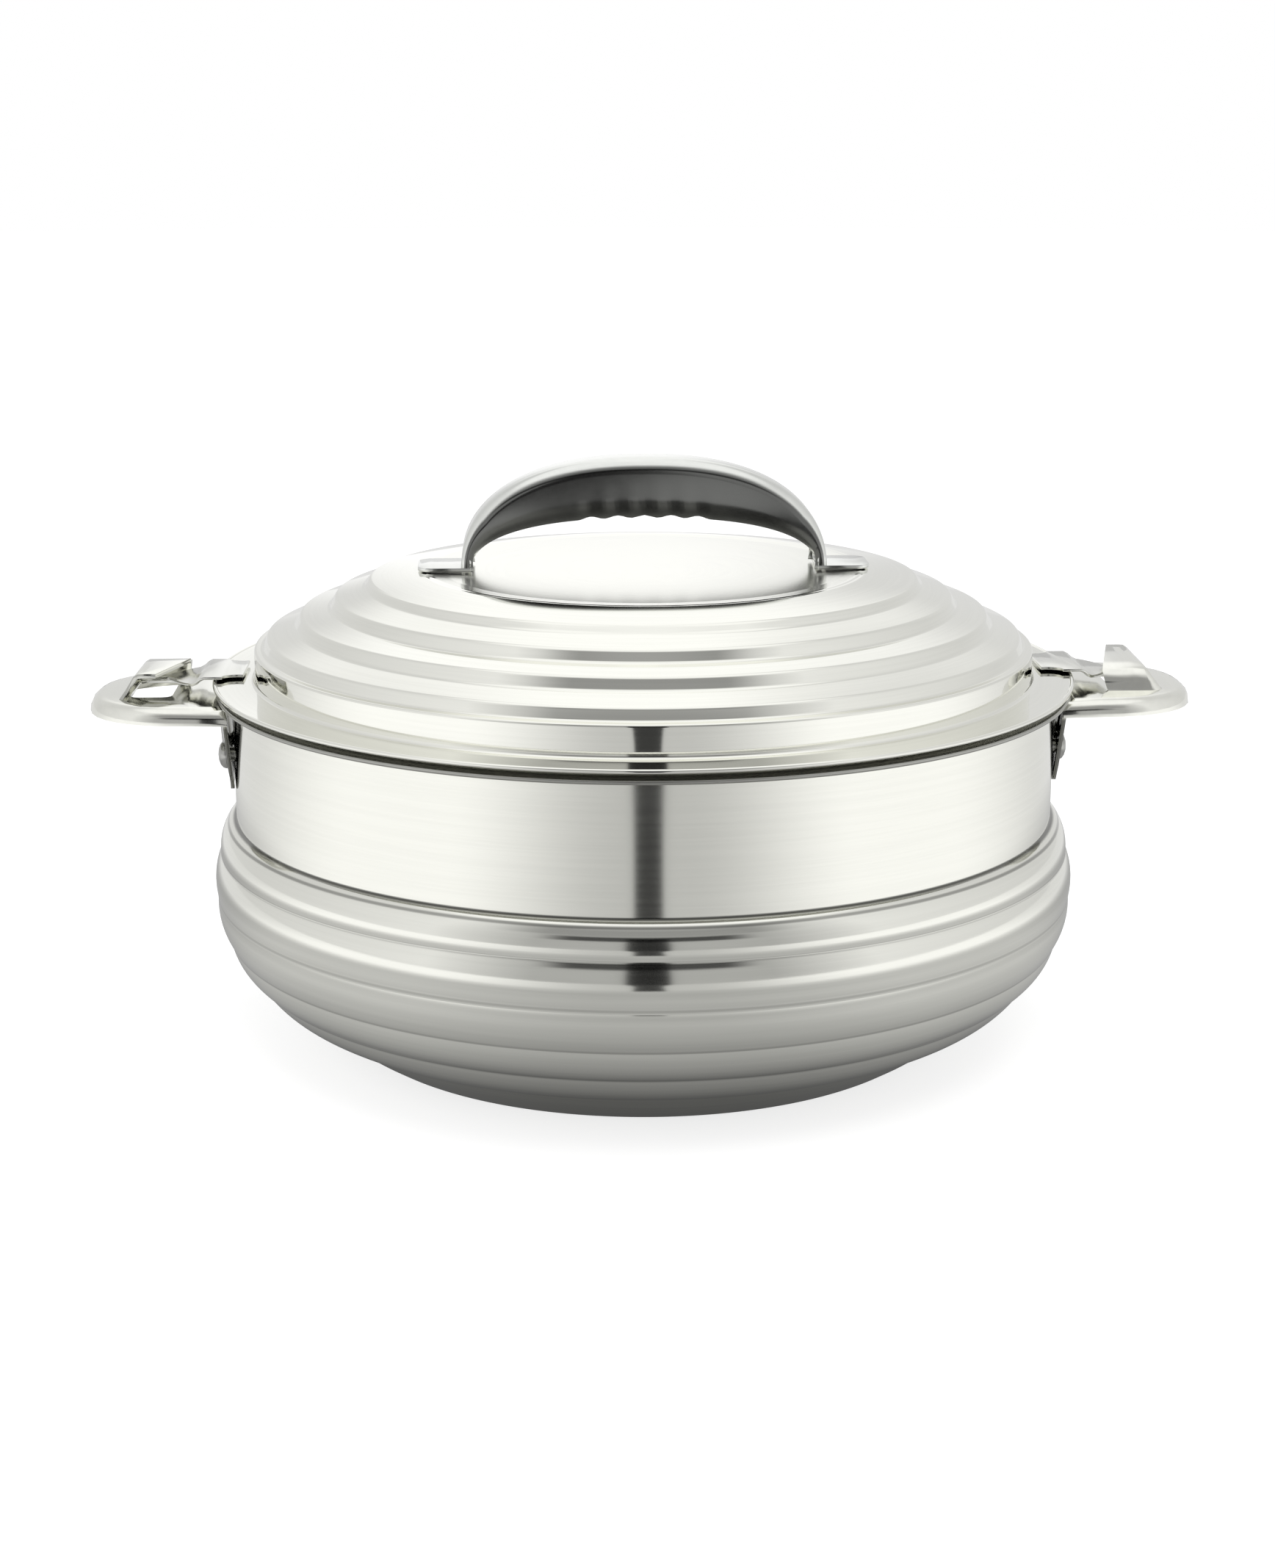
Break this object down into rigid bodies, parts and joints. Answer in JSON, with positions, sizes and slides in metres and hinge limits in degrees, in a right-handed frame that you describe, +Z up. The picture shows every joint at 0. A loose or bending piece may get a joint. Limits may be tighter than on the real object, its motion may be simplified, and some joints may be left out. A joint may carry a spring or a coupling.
{
  "type": "insulated casserole",
  "caption": "Double-walled round steel food pot with foam insulation, riveted side handles and a domed lid that locks with a twist.",
  "frame": {"origin": "bottom centre: the middle of the foot ring, on the surface that the pot stands on", "axes": "+Z up along the pot's axis, +X towards the right side handle, front of the picture at -Y"},
  "size_m": [0.36, 0.2828, 0.1907],
  "materials": {
    "polished_steel": "polished stainless steel",
    "brushed_steel": "fine turned brushing",
    "insulating_foam": "rigid polyurethane foam",
    "black_plastic": "moulded"
  },
  "bodies": {
    "pot": {"outer_shell": "brushed_steel", "inner_bowl": "brushed_steel", "bowl_insulation": "insulating_foam", "base_cover": "brushed_steel", "foam_plug": "black_plastic", "side_handle_right": "polished_steel", "side_handle_left": "polished_steel", "handle_rivet_right_front": "polished_steel", "handle_rivet_right_back": "polished_steel", "handle_rivet_left_front": "polished_steel", "handle_rivet_left_back": "polished_steel", "rivet_washer_right_front": "brushed_steel", "rivet_washer_right_back": "brushed_steel", "rivet_washer_left_front": "brushed_steel", "rivet_washer_left_back": "brushed_steel"},
    "lid": {"lid_shell": "polished_steel", "lid_inner_pan": "brushed_steel", "lid_insulation": "insulating_foam", "lid_handle": "polished_steel", "lid_lock_tab_right": "polished_steel", "lid_lock_tab_left": "polished_steel"}
  },
  "joints": [
    {"name": "lid_turn", "type": "hinge", "parent": "pot", "child": "lid", "pos_m": [0, 0, 0.1194], "axis": [0, 0, 1], "range_deg": [0, 160]}
  ]
}
